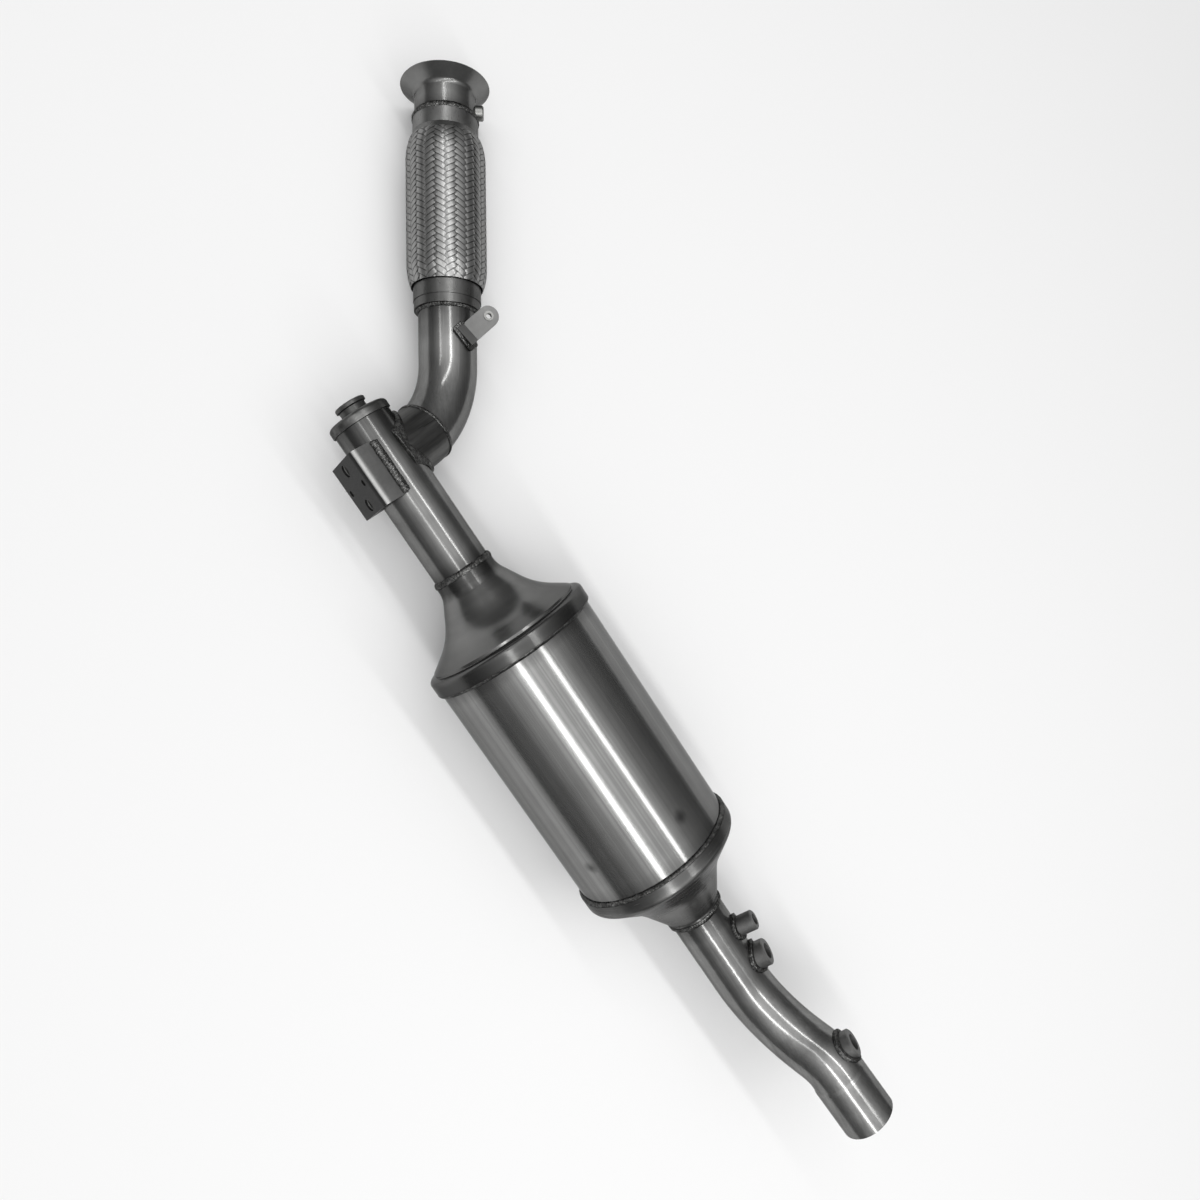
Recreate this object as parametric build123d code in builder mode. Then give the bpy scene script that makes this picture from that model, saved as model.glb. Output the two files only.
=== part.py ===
from build123d import *
from math import atan, cos, hypot, pi, radians, sin, tan
import os

# Front exhaust section of a diesel vehicle: a flared inlet flange, a braided flexible
# coupler, a downpipe, a mixer tube with an injector port, the filter canister and an
# offset outlet pipe with sensor bosses. It is welded up as one rigid assembly.
#
# Millimetres. X follows the canister's axis with the gas, Z is up as the part lies at
# rest on both canister rims and the edge of the flange, and the origin is the centre of
# the injector port's mouth.

# Sheet and tube stock
tube_wall = 1.5
cone_wall = 2.0
neck_lap = 12.0
bead_height = 2.6
bead_width = 7.0

# Injector port and cap
port_bore_radius = 10.0
port_flange_radius = 16.0
port_flange_thickness = 5.0
port_neck_radius = 13.8
port_neck_length = 7.5
cap_wall = 3.0
cap_skirt_length = 10.0
cap_skirt_wall = 1.8
cap_crown_round = 4.0
cap_hem_round = 0.8

# Mixer tube and the swirl element inside it
mixer_radius = 30.0
mixer_length = 189.5
swirl_station = 150.0
swirl_ring_length = 14.0
swirl_blade_count = 8
swirl_blade_angle = 40.0
swirl_blade_thickness = 1.2
swirl_hub_radius = 4.0

# Canister
shell_radius = 87.0
shell_wall = 1.5
shell_length = 284.0
rim_step = 3.5
rim_lap = 10.0
rim_band = 16.4
rim_groove = 5.3
groove_width = 3.0
inlet_cone_length = 90.0
inlet_neck_run = 0.6
inlet_neck_bend = 25.0
inlet_flank_radius = 53.2
inlet_flank_angle = 55.2
inlet_flank_bend = 75.0
outlet_cone_length = 88.0
outlet_shoulder_run = 15.0
outlet_shoulder_bend = 8.0
outlet_flank_run = 44.9
outlet_flank_radius = 54.3
outlet_flank_bend = 70.0

# Filter inside the canister
filter_length = 229.0
mat_thickness = 6.0
mat_length = 205.0
seal_length = 8.0
cell_pitch = 13.0
cell_size = 9.5
cell_depth = 6.0
filter_skin = 1.5

# Outlet pipe, with its two bends and its widened slip end
outlet_radius = 30.0
outlet_straight = 162.0
offset_run = 58.5
offset_side = 18.8
offset_rise = 49.0
tail_run = 73.5
tail_rise = 12.0
first_bend_radius = 145.0
second_bend_radius = 42.0
slip_radius = 31.0
slip_length = 58.0
slip_taper = 4.0

# Sensor bosses and the pressure nipple on the outlet pipe
boss_azimuth = 32.0
nipple_reach = 40.4
nipple_radius = 10.6
nipple_height = 51.2
nipple_bore_radius = 6.0
front_boss_reach = 81.5
front_boss_height = 43.5
rear_boss_back = 4.8
rear_boss_height = 36.0
boss_radius = 14.4
boss_bore_radius = 8.25
sensor_hole_play = 1.25
boss_chamfer = 1.2
boss_bead = 3.6

# Inlet leg: branch stub, downpipe elbow and the straight run up to the flange
branch_station = 64.3
elbow_back = 8.7
elbow_side = 85.1
elbow_drop = 35.2
elbow_radius = 105.0
downpipe_radius = 30.0
stub_wall = 1.75
stub_length = 55.6
stub_lap = 8.0
stub_foot = 8.0
branch_bore_radius = 26.0
saddle_bead = 4.0
saddle_foot = 4.0

# Flange and neck
flange_back = 231.0
flange_side = 280.8
flange_radius = 46.2
flare_length = 11.5
flare_bend = 5.0
flange_wall = 1.5
neck_radius = 32.0
neck_length = 36.9

# Flexible coupler
cuff_wall = 2.0
upper_cuff_length = 36.0
upper_cuff_visible = 24.6
clamp_lip_length = 6.5
clamp_lip_radius = 37.0
braid_radius = 41.3
braid_wall = 1.5
braid_length = 154.6
braid_start_radius = 37.5
braid_end_radius = 37.0
braid_grip = 8.0
braid_shoulder = 22.0
ferrule_width = 15.0
ferrule_radius = 34.9
collar_width = 9.0
collar_radius = 34.2
lower_cuff_reach = 15.6
bellows_seat = 2.5
bellows_wall = 0.8
bellows_count = 10
liner_wall = 1.2
liner_seat = 4.0

# Strands of the braid: each shows as a row of raised floats, and the two hands lie in
# columns side by side
strand_columns = 24
strand_pitch = 7.0
strand_width = 4.8
strand_rise = 0.55
strand_margin = 3.5
float_share = 0.92

# Locating stud on the flange neck
stud_radius = 7.5
stud_top = 39.8
stud_station = 26.0
stud_round = 2.0

# Hanger tab on the downpipe
tab_width = 21.2
tab_thickness = 4.0
tab_bend_x = -0.5
tab_bend_y = 145.5
tab_drop = 10.5
tab_heading = 99.4
tab_foot_length = 9.5
tab_foot_slope = 15.0
tab_hole_reach = 25.6
tab_hole_radius = 3.9
bush_bore_radius = 2.8
bush_flange_radius = 5.0
bush_flange_thickness = 0.9

# Mixer bracket
bracket_station = 43.8
bracket_length = 57.5
bracket_width = 73.5
bracket_reach = 42.0
bracket_foot_width = 54.8
bracket_foot_reach = 15.5
bracket_sheet = 3.0
bracket_bend_radius = 5.0
bracket_tilt = 13.0
bracket_hole_spacing = 38.0
bracket_hole_radius = 6.3
bracket_small_hole_spacing = 42.0
bracket_small_hole_radius = 3.2
nut_across_flats = 17.0
nut_height = 8.0
nut_bore_radius = 5.1
bracket_bead_radius = 4.6

# Stations along X and radii that follow from the driving sizes
rim_radius = shell_radius + rim_step
cap_x = port_flange_thickness + port_neck_length
mixer_x = cap_x + cap_wall
mixer_end_x = mixer_x + mixer_length
inlet_cone_x = mixer_end_x - neck_lap
inlet_rim_x = inlet_cone_x + inlet_cone_length
shell_x = inlet_rim_x - rim_lap
shell_end_x = shell_x + shell_length
outlet_rim_x = shell_end_x - rim_lap
outlet_neck_x = outlet_rim_x + outlet_cone_length
outlet_x = outlet_neck_x - neck_lap
filter_x = (shell_x + shell_end_x - filter_length) / 2
nipple_station = outlet_neck_x + nipple_reach
front_boss_station = outlet_neck_x + front_boss_reach

# Points of the outlet route
first_bend = Vector(outlet_x + outlet_straight, 0, 0)
second_bend = first_bend + Vector(offset_run, offset_side, offset_rise)
outlet_end = second_bend + Vector(tail_run, 0, tail_rise)
tail_direction = (outlet_end - second_bend).normalized()
slip_start = outlet_end - tail_direction * slip_length

# Points of the inlet leg. The flange stands at the height where its edge touches the
# floor together with the two rims.
branch_point = Vector(branch_station, 0, 0)
elbow_point = Vector(branch_station - elbow_back, elbow_side, -elbow_drop)
flange_centre = Vector(-flange_back, flange_side, flange_radius - rim_radius)
leg_direction = (elbow_point - flange_centre).normalized()
stub_direction = (elbow_point - branch_point).normalized()
leg_axis = Axis(flange_centre, leg_direction)
leg_side = leg_direction.cross(Vector(0, 0, 1)).normalized()
leg_profile = Plane(origin=flange_centre, x_dir=leg_direction, z_dir=leg_side)

# Stations along the inlet leg, from the flange face
neck_end = flare_length + neck_length
upper_cuff_start = neck_end - neck_lap
upper_cuff_end = upper_cuff_start + upper_cuff_length
braid_start = upper_cuff_start + upper_cuff_visible
braid_end = braid_start + braid_length
ferrule_end = braid_end + ferrule_width
collar_end = ferrule_end + collar_width
lower_cuff_start = braid_end - lower_cuff_reach
downpipe_start = collar_end - neck_lap
cuff_radius = neck_radius + cuff_wall

mixer_bore = mixer_radius - tube_wall
outlet_bore = outlet_radius - tube_wall
downpipe_bore = downpipe_radius - tube_wall
stub_radius = downpipe_radius + stub_wall
shell_bore = shell_radius - shell_wall
filter_radius = shell_bore - mat_thickness


def leg_ring(stations, radii):
    """A ring turned about the inlet leg, from (station, radius) corners."""
    with BuildPart() as ring:
        with BuildSketch(leg_profile):
            Polygon(*zip(stations, radii), align=None)
        revolve(axis=leg_axis)
    return ring


def lap_bead(profile_plane, axis, edge, inner, outer, side):
    """Weld bead where a tube of the inner radius leaves a sleeve of the outer radius.

    The sleeve ends at edge, and side is 1 where the tube goes on towards larger stations.
    """
    half = bead_width / 2
    with BuildPart() as bead:
        with BuildSketch(profile_plane):
            with BuildLine():
                tube_toe = (edge + side * half, inner)
                sleeve_toe = (edge - side * half, outer)
                Polyline(sleeve_toe, (edge, outer), (edge, inner), tube_toe)
                ThreePointArc(tube_toe, (edge, inner + bead_height), sleeve_toe)
            make_face()
        revolve(axis=axis)
    return bead


def fillet_bead(edge, side):
    """Weld bead in the corner between a canister rim's end and the shell."""
    height = rim_radius - shell_radius
    with BuildPart() as bead:
        with BuildSketch(Plane.XZ):
            with BuildLine():
                top = (edge, rim_radius)
                toe = (edge + side * height, shell_radius)
                middle = (edge + side * height * 0.66, shell_radius + height * 0.66)
                Polyline(toe, (edge, shell_radius), top)
                ThreePointArc(top, middle, toe)
            make_face()
        revolve(axis=Axis.X)
    return bead


# Injector port: a turned fitting with a clamp flange, bored through into the cap
with BuildPart() as injector_port:
    with BuildSketch(Plane.XZ):
        with BuildLine():
            Polyline(
                (0, port_bore_radius),
                (0, port_flange_radius - 1),
                (1, port_flange_radius),
                (port_flange_thickness - 1, port_flange_radius),
                (port_flange_thickness, port_neck_radius),
                (cap_x, port_neck_radius),
                (cap_x, port_bore_radius),
                close=True,
            )
        make_face()
    revolve(axis=Axis.X)

# Mixer cap: a pressed cup that closes the tube's end, with a thick rolled rim
with BuildPart() as mixer_cap:
    with BuildSketch(Plane.XZ):
        with BuildLine():
            Polyline(
                (cap_x, port_bore_radius),
                (cap_x, mixer_radius + cap_skirt_wall),
                (cap_x + cap_skirt_length, mixer_radius + cap_skirt_wall),
                (cap_x + cap_skirt_length, mixer_radius),
                (mixer_x, mixer_radius),
                (mixer_x, port_bore_radius),
                close=True,
            )
        make_face()
    revolve(axis=Axis.X)
    rim_edges = mixer_cap.edges().filter_by(GeomType.CIRCLE).sort_by(SortBy.RADIUS)[-2:]
    crown_edge, hem_edge = rim_edges.sort_by(Axis.X)
    fillet(crown_edge, radius=cap_crown_round)
    fillet(hem_edge, radius=cap_hem_round)

# Solid cores that the neighbouring pieces are trimmed against
with BuildPart() as mixer_core:
    with BuildSketch(Plane.YZ.offset(mixer_x)):
        Circle(mixer_radius)
    extrude(amount=mixer_length)

with BuildLine() as inlet_route:
    inlet_end = flange_centre + leg_direction * downpipe_start
    FilletPolyline(branch_point, elbow_point, inlet_end, radius=elbow_radius)

route_start = Plane(origin=branch_point, z_dir=stub_direction)
seam_point = inlet_route.wires()[0].position_at(stub_length, PositionMode.LENGTH)
seam_direction = inlet_route.wires()[0].tangent_at(stub_length, PositionMode.LENGTH)
seam_plane = Plane(origin=seam_point, z_dir=seam_direction)
lap_point = inlet_route.wires()[0].position_at(stub_length - stub_lap, PositionMode.LENGTH)
lap_direction = inlet_route.wires()[0].tangent_at(stub_length - stub_lap, PositionMode.LENGTH)
lap_plane = Plane(origin=lap_point, z_dir=lap_direction)

# Downpipe: one bent tube from inside the stub up to the coupler's lower cuff
with BuildPart() as downpipe:
    with BuildSketch(route_start):
        Circle(downpipe_radius)
        Circle(downpipe_bore, mode=Mode.SUBTRACT)
    sweep(path=inlet_route.wires()[0])
    split(bisect_by=lap_plane, keep=Keep.TOP)

# Branch stub: a sleeve round the downpipe's end, saddled on the mixer tube
with BuildPart() as inlet_stub:
    with BuildSketch(route_start):
        Circle(stub_radius)
        Circle(downpipe_radius, mode=Mode.SUBTRACT)
    sweep(path=inlet_route.wires()[0])
    split(bisect_by=seam_plane, keep=Keep.BOTTOM)
    split(bisect_by=route_start.offset(stub_foot), keep=Keep.TOP)
    add(mixer_core.part, mode=Mode.SUBTRACT)

# Mixer bracket: a folded channel whose legs straddle the mixer tube
tilt = radians(bracket_tilt)
bracket_out = Vector(0, -cos(tilt), sin(tilt))
bracket_origin = Vector(bracket_station, 0, 0)
bracket_section = Plane(origin=bracket_origin, x_dir=bracket_out, z_dir=(1, 0, 0))
bracket_middle = bracket_origin + Vector(bracket_length / 2, 0, 0)
plate_plane = Plane(
    origin=bracket_middle + bracket_out * (bracket_reach - bracket_sheet),
    x_dir=(1, 0, 0),
    z_dir=bracket_out,
)
with BuildPart() as mixer_bracket:
    with BuildSketch(bracket_section):
        plate_x = bracket_reach - bracket_sheet / 2
        plate_y = bracket_width / 2 - bracket_sheet / 2
        foot_y = bracket_foot_width / 2
        run = (plate_y - foot_y) / (plate_x - bracket_foot_reach)
        trim_x = bracket_foot_reach * 0.5
        trim_y = foot_y - run * (bracket_foot_reach - trim_x)
        with BuildLine():
            FilletPolyline(
                (trim_x, trim_y),
                (plate_x, plate_y),
                (plate_x, -plate_y),
                (trim_x, -trim_y),
                radius=bracket_bend_radius,
            )
        trace(line_width=bracket_sheet)
    extrude(amount=bracket_length)
    add(mixer_core.part, mode=Mode.SUBTRACT)
    with BuildSketch(plate_plane):
        with GridLocations(bracket_hole_spacing, 0, 2, 1):
            Circle(bracket_hole_radius)
        with GridLocations(0, bracket_small_hole_spacing, 1, 2):
            Circle(bracket_small_hole_radius)
    extrude(amount=bracket_sheet, mode=Mode.SUBTRACT)

# Weld nuts on the inner face of the bracket's plate
with BuildPart() as bracket_nuts:
    with BuildSketch(plate_plane):
        with GridLocations(bracket_hole_spacing, 0, 2, 1):
            RegularPolygon(nut_across_flats / 2, 6, major_radius=False)
            Circle(nut_bore_radius, mode=Mode.SUBTRACT)
    extrude(amount=-nut_height)

# Weld bead round the saddle: it fills the corner between the stub and the mixer tube
with BuildPart() as saddle_weld:
    with BuildSketch(route_start.offset(saddle_foot)):
        Circle(stub_radius + saddle_bead)
    extrude(amount=stub_length)
    with BuildSketch(Plane.YZ.offset(mixer_x)):
        Circle(mixer_radius + saddle_bead)
    extrude(amount=mixer_length, mode=Mode.INTERSECT)
    with BuildSketch(route_start.offset(stub_foot)):
        Circle(stub_radius)
    extrude(amount=stub_length, mode=Mode.SUBTRACT)
    add(mixer_core.part, mode=Mode.SUBTRACT)
    add(mixer_bracket.part, mode=Mode.SUBTRACT)

# Weld beads along both legs of the bracket
with BuildPart() as bracket_welds:
    leg_foot_y = bracket_foot_width / 2 + bracket_sheet / 2
    with BuildSketch(bracket_section.offset(1.5)):
        for side in (1, -1):
            with Locations((bracket_foot_reach - 1.5, side * leg_foot_y)):
                Circle(bracket_bead_radius)
    extrude(amount=bracket_length - 3)
    add(mixer_core.part, mode=Mode.SUBTRACT)
    add(mixer_bracket.part, mode=Mode.SUBTRACT)
    add(saddle_weld.part, mode=Mode.SUBTRACT)

# Mixer tube with its side opening into the stub
with BuildPart() as mixer_tube:
    with BuildSketch(Plane.YZ.offset(mixer_x)):
        Circle(mixer_radius)
        Circle(mixer_bore, mode=Mode.SUBTRACT)
    extrude(amount=mixer_length)
    with BuildSketch(route_start):
        Circle(branch_bore_radius)
    extrude(amount=stub_length, mode=Mode.SUBTRACT)

# Weld bead where the downpipe leaves the stub
seam_profile = Plane(origin=seam_point, x_dir=seam_direction, z_dir=leg_side)
stub_seam_weld = lap_bead(
    seam_profile, Axis(seam_point, seam_direction), 0, downpipe_radius, stub_radius, 1
)

# Swirl element: a pressed ring of twisted blades that breaks up the injected spray
with BuildPart() as swirl_mixer:
    with BuildSketch(Plane.YZ.offset(swirl_station)):
        Circle(mixer_bore)
        Circle(mixer_bore - tube_wall, mode=Mode.SUBTRACT)
        Circle(swirl_hub_radius)
    extrude(amount=swirl_ring_length)
    blade_length = mixer_bore - tube_wall / 2
    blade_centre = Vector(swirl_station + swirl_ring_length / 2, 0, 0)
    blade_width = (swirl_ring_length - 2) / sin(radians(90 - swirl_blade_angle))
    for blade in range(swirl_blade_count):
        azimuth = radians(360 / swirl_blade_count * blade)
        radial = Vector(0, cos(azimuth), sin(azimuth))
        around_axis = Vector(0, -sin(azimuth), cos(azimuth))
        tilt = radians(swirl_blade_angle)
        chord = Vector(1, 0, 0) * cos(tilt) + around_axis * sin(tilt)
        with BuildSketch(Plane(origin=blade_centre, x_dir=radial, z_dir=radial.cross(chord))):
            with Locations((blade_length / 2, 0)):
                Rectangle(blade_length, blade_width)
        extrude(amount=swirl_blade_thickness / 2, both=True)

# Inlet cone: a trumpet pressing from the mixer tube out to the shell
groove_radius = shell_radius - rim_groove
groove_x = inlet_rim_x - rim_band - groove_width
inlet_slope = tan(radians(inlet_flank_angle))
inlet_flank_x = groove_x - (groove_radius - inlet_flank_radius) / inlet_slope
with BuildPart() as inlet_cone:
    with BuildSketch(Plane.XZ):
        neck_outer = mixer_radius + cone_wall
        with BuildLine():
            flank = FilletPolyline(
                (inlet_cone_x, neck_outer),
                (inlet_cone_x + neck_lap + inlet_neck_run, neck_outer),
                (inlet_flank_x, inlet_flank_radius),
                (groove_x, groove_radius),
                radius=[inlet_neck_bend, inlet_flank_bend],
            )
            rim = FilletPolyline(
                (groove_x, groove_radius),
                (groove_x + groove_width, groove_radius),
                (groove_x + groove_width + 1.5, rim_radius),
                (inlet_rim_x, rim_radius),
                radius=[0.8, 4],
            )
            inner_skin = offset(
                flank, amount=cone_wall, side=Side.RIGHT, closed=False, mode=Mode.PRIVATE
            )
            inner_ends = sorted([inner_skin @ 0, inner_skin @ 1], key=lambda end: end.X)
            add(inner_skin)
            Line((inlet_cone_x, neck_outer), inner_ends[0])
            Polyline(
                rim @ 1,
                (inlet_rim_x, shell_radius),
                (shell_x, shell_radius),
                (shell_x, shell_bore),
                (groove_x + groove_width + 2, groove_radius - 1.5),
                inner_ends[1],
            )
        make_face()
    revolve(axis=Axis.X)

# Shell: the rolled canister tube between the cones
with BuildPart() as canister_shell:
    with BuildSketch(Plane.YZ.offset(shell_x)):
        Circle(shell_radius)
        Circle(shell_bore, mode=Mode.SUBTRACT)
    extrude(amount=shell_length)

# Outlet cone: a steeper pressing with a round shoulder, down to the outlet pipe
with BuildPart() as outlet_cone:
    with BuildSketch(Plane.XZ):
        neck_outer = outlet_radius + cone_wall
        with BuildLine():
            flank = FilletPolyline(
                (shell_end_x, rim_radius),
                (outlet_rim_x + outlet_shoulder_run, rim_radius),
                (outlet_rim_x + outlet_flank_run, outlet_flank_radius),
                (outlet_neck_x - bead_width / 2 - 1.5, neck_outer),
                (outlet_neck_x, neck_outer),
                radius=[outlet_shoulder_bend, outlet_flank_bend, 4],
            )
            inner_skin = offset(
                flank, amount=cone_wall, side=Side.RIGHT, closed=False, mode=Mode.PRIVATE
            )
            inner_ends = sorted([inner_skin @ 0, inner_skin @ 1], key=lambda end: end.X)
            add(inner_skin)
            Line(flank @ 1, inner_ends[1])
            Polyline(
                inner_ends[0],
                (shell_end_x, shell_radius),
                (outlet_rim_x, shell_radius),
                (outlet_rim_x, rim_radius),
                flank @ 0,
            )
        make_face()
    revolve(axis=Axis.X)

# Filter brick: a wall-flow honeycomb with every other cell plugged at each face
with BuildPart() as filter_monolith:
    with BuildSketch(Plane.YZ.offset(filter_x)):
        Circle(filter_radius)
    extrude(amount=filter_length)
    reach = int(filter_radius / cell_pitch)
    for face_x, parity in ((filter_x, 0), (filter_x + filter_length - cell_depth, 1)):
        open_cells = [
            (column * cell_pitch, row * cell_pitch)
            for column in range(-reach, reach + 1)
            for row in range(-reach, reach + 1)
            if (column + row) % 2 == parity
            and hypot(
                abs(column) * cell_pitch + cell_size / 2, abs(row) * cell_pitch + cell_size / 2
            ) < filter_radius - filter_skin
        ]
        with BuildSketch(Plane.YZ.offset(face_x)):
            with Locations(*open_cells):
                Rectangle(cell_size, cell_size)
        extrude(amount=cell_depth, mode=Mode.SUBTRACT)

# Support mat wrapped round the brick
mat_x = filter_x + (filter_length - mat_length) / 2
with BuildPart() as support_mat:
    with BuildSketch(Plane.YZ.offset(mat_x)):
        Circle(shell_bore)
        Circle(filter_radius, mode=Mode.SUBTRACT)
    extrude(amount=mat_length)

# Wire-mesh seal rings at both ends of the mat
with BuildPart() as mesh_seal_rings:
    for seal_x in (mat_x - seal_length, mat_x + mat_length):
        with BuildSketch(Plane.YZ.offset(seal_x)):
            Circle(shell_bore)
            Circle(filter_radius, mode=Mode.SUBTRACT)
        extrude(amount=seal_length)

# Welds on the canister's axis
inlet_neck_weld = lap_bead(
    Plane.XZ, Axis.X, inlet_cone_x, mixer_radius, mixer_radius + cone_wall, -1
)
inlet_rim_weld = fillet_bead(inlet_rim_x, 1)
outlet_rim_weld = fillet_bead(outlet_rim_x, -1)
outlet_neck_weld = lap_bead(
    Plane.XZ, Axis.X, outlet_neck_x, outlet_radius, outlet_radius + cone_wall, 1
)

# Outlet route, and solid cores along it for trimming
with BuildLine() as outlet_route:
    FilletPolyline(
        (outlet_x, 0, 0),
        first_bend,
        second_bend,
        slip_start,
        radius=[first_bend_radius, second_bend_radius],
    )
outlet_wire = outlet_route.wires()[0]


def outlet_sweep(radius):
    """A solid bar of the given radius along the outlet route and its slip end."""
    with BuildPart() as bar:
        with BuildSketch(Plane.YZ.offset(outlet_x)):
            Circle(radius)
        sweep(path=outlet_wire)
    return bar


outlet_core = outlet_sweep(outlet_radius)
outlet_jacket = outlet_sweep(outlet_radius + boss_bead)

boss_direction = Vector(0, cos(radians(boss_azimuth)), sin(radians(boss_azimuth)))
rear_origin = second_bend - tail_direction * rear_boss_back
rear_lean = boss_direction - tail_direction * boss_direction.dot(tail_direction)
rear_direction = rear_lean.normalized()


def boss(origin, direction, radius, bore, height):
    """A turned boss that stands on the outlet pipe, bored through."""
    plane = Plane(origin=origin, z_dir=direction)
    with BuildPart() as piece:
        with BuildSketch(plane):
            Circle(radius)
        extrude(amount=height)
        chamfer(piece.faces().sort_by(Axis(origin, direction))[-1].edges(), boss_chamfer)
        with BuildSketch(plane):
            Circle(bore)
        extrude(amount=height, mode=Mode.SUBTRACT)
        add(outlet_core.part, mode=Mode.SUBTRACT)
    return piece


def boss_weld(origin, direction, radius, height):
    """The bead round a boss's foot, on the outlet pipe."""
    plane = Plane(origin=origin, z_dir=direction)
    with BuildPart() as bead:
        with BuildSketch(plane):
            Circle(radius + boss_bead)
            Circle(radius, mode=Mode.SUBTRACT)
        extrude(amount=height)
        add(outlet_jacket.part, mode=Mode.INTERSECT)
        add(outlet_core.part, mode=Mode.SUBTRACT)
    return bead


nipple_origin = Vector(nipple_station, 0, 0)
front_origin = Vector(front_boss_station, 0, 0)
pressure_nipple = boss(
    nipple_origin, boss_direction, nipple_radius, nipple_bore_radius, nipple_height
)
front_sensor_boss = boss(
    front_origin, boss_direction, boss_radius, boss_bore_radius, front_boss_height
)
rear_sensor_boss = boss(
    rear_origin, rear_direction, boss_radius, boss_bore_radius, rear_boss_height
)
nipple_weld = boss_weld(nipple_origin, boss_direction, nipple_radius, nipple_height)
front_boss_weld = boss_weld(front_origin, boss_direction, boss_radius, front_boss_height)
rear_boss_weld = boss_weld(rear_origin, rear_direction, boss_radius, rear_boss_height)

# Outlet pipe: one bent tube, widened at its end to slip over the next pipe, with the
# sensor holes drilled through its wall
with BuildPart() as outlet_pipe:
    with BuildSketch(Plane.YZ.offset(outlet_x)):
        Circle(outlet_radius)
        Circle(outlet_bore, mode=Mode.SUBTRACT)
    sweep(path=outlet_wire)
    slip_profile = Plane(origin=slip_start, x_dir=tail_direction, z_dir=(0, -1, 0))
    with BuildSketch(slip_profile):
        Polygon(
            (0, outlet_bore),
            (0, outlet_radius),
            (slip_taper, slip_radius),
            (slip_length, slip_radius),
            (slip_length, slip_radius - tube_wall),
            (slip_taper, slip_radius - tube_wall),
            align=None,
        )
    revolve(axis=Axis(slip_start, tail_direction))
    for origin, direction, bore in (
        (nipple_origin, boss_direction, nipple_bore_radius),
        (front_origin, boss_direction, boss_bore_radius),
        (rear_origin, rear_direction, boss_bore_radius),
    ):
        with BuildSketch(Plane(origin=origin, z_dir=direction)):
            Circle(bore + sensor_hole_play)
        extrude(amount=nipple_height, mode=Mode.SUBTRACT)

# Inlet flange: one tube, flared at its mouth with a tight bend
with BuildPart() as inlet_flange:
    with BuildSketch(leg_profile):
        flare_rise = flange_radius - neck_radius
        lip_x = flange_wall * flare_rise / hypot(flare_length, flare_rise)
        with BuildLine():
            outer_skin = FilletPolyline(
                (lip_x, flange_radius),
                (flare_length, neck_radius),
                (neck_end, neck_radius),
                radius=flare_bend,
            )
            inner_skin = offset(
                outer_skin, amount=flange_wall, side=Side.RIGHT, closed=False, mode=Mode.PRIVATE
            )
            inner_ends = sorted([inner_skin @ 0, inner_skin @ 1], key=lambda end: end.X)
            add(inner_skin)
            Line(outer_skin @ 0, inner_ends[0])
            Line(outer_skin @ 1, inner_ends[1])
        make_face()
    revolve(axis=leg_axis)

neck_weld = lap_bead(leg_profile, leg_axis, upper_cuff_start, neck_radius, cuff_radius, -1)

# Locating stud on the neck
stud_origin = flange_centre + leg_direction * stud_station
stud_lean = Vector(0.55, 0.81, 0.2)
stud_lean = stud_lean - leg_direction * stud_lean.dot(leg_direction)
stud_plane = Plane(origin=stud_origin, z_dir=stud_lean.normalized())
with BuildPart() as locating_stud:
    with BuildSketch(stud_plane):
        Circle(stud_radius)
    extrude(amount=stud_top)
    fillet(locating_stud.faces().sort_by(Axis(stud_origin, stud_plane.z_dir))[-1].edges(), stud_round)
    with BuildSketch(Plane(origin=flange_centre, z_dir=leg_direction)):
        Circle(neck_radius)
    extrude(amount=neck_end, mode=Mode.SUBTRACT)
    add(inlet_flange.part, mode=Mode.SUBTRACT)
    add(neck_weld.part, mode=Mode.SUBTRACT)

# Flexible coupler: cuffs, bellows, liner, braid and the ferrule that clamps the braid
with BuildPart() as upper_flex_cuff:
    with BuildSketch(leg_profile):
        Polygon(
            (upper_cuff_start, neck_radius),
            (upper_cuff_start, cuff_radius),
            (braid_start - clamp_lip_length, cuff_radius),
            (braid_start, clamp_lip_radius),
            (braid_start, cuff_radius),
            (upper_cuff_end, cuff_radius),
            (upper_cuff_end, neck_radius),
            align=None,
        )
    revolve(axis=leg_axis)
with BuildPart() as lower_flex_cuff:
    with BuildSketch(leg_profile):
        Polygon(
            (lower_cuff_start, downpipe_radius),
            (lower_cuff_start, cuff_radius),
            (ferrule_end, cuff_radius),
            (ferrule_end, collar_radius),
            (collar_end, collar_radius),
            (collar_end, downpipe_radius),
            align=None,
        )
    revolve(axis=leg_axis)
flex_ferrule = leg_ring(
    [braid_end, ferrule_end, ferrule_end, braid_end],
    [cuff_radius, cuff_radius, ferrule_radius, ferrule_radius],
)


def barrel_radius(station):
    """Outer radius of the braid, which draws in towards both ends."""
    if station < braid_start + braid_shoulder:
        rest, drop = 1 - (station - braid_start) / braid_shoulder, braid_radius - braid_start_radius
    elif station > braid_end - braid_shoulder:
        rest, drop = 1 - (braid_end - station) / braid_shoulder, braid_radius - braid_end_radius
    else:
        rest, drop = 0, 0
    return braid_radius - drop * rest**2


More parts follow.
